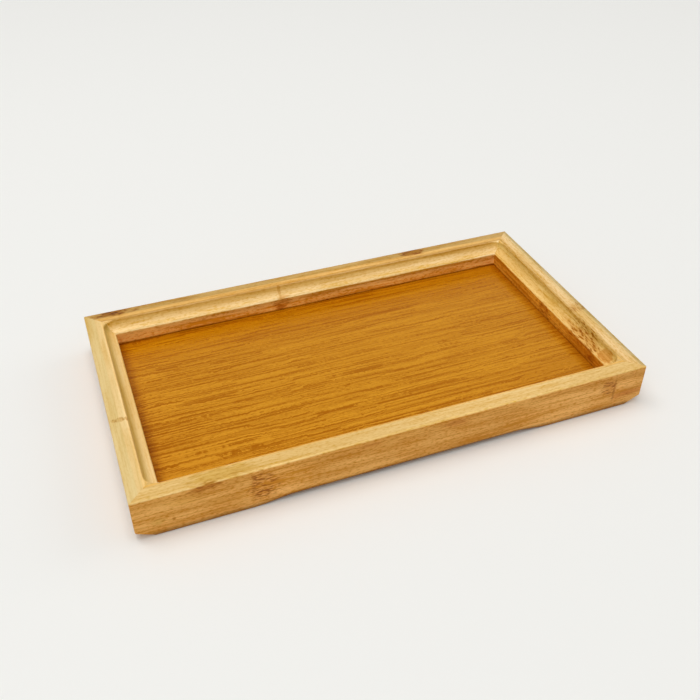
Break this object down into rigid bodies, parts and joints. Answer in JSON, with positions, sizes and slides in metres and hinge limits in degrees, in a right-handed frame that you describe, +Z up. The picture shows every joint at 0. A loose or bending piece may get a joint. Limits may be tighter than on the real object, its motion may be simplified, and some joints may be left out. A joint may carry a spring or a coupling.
{
  "type": "bamboo serving tray",
  "caption": "Small rectangular bamboo serving tray: mitred rim with a routed cove round the well, grooved-in base board and finger bevels under the short ends.",
  "frame": {"origin": "under the middle of the tray, on the surface it stands on", "axes": "+X along the long rails to the right, +Y from the front to the back, +Z up out of the well"},
  "size_m": [0.32, 0.18, 0.028],
  "materials": {
    "rail_bamboo": "satin, pale natural bamboo",
    "panel_bamboo": "satin, caramel carbonised bamboo",
    "spline_bamboo": "raw sawn bamboo"
  },
  "bodies": {
    "root": {"front_rail": "rail_bamboo", "back_rail": "rail_bamboo", "left_rail": "rail_bamboo", "right_rail": "rail_bamboo", "base_panel": "panel_bamboo", "spline_front_left": "spline_bamboo", "spline_front_right": "spline_bamboo", "spline_back_right": "spline_bamboo", "spline_back_left": "spline_bamboo"}
  },
  "joints": []
}
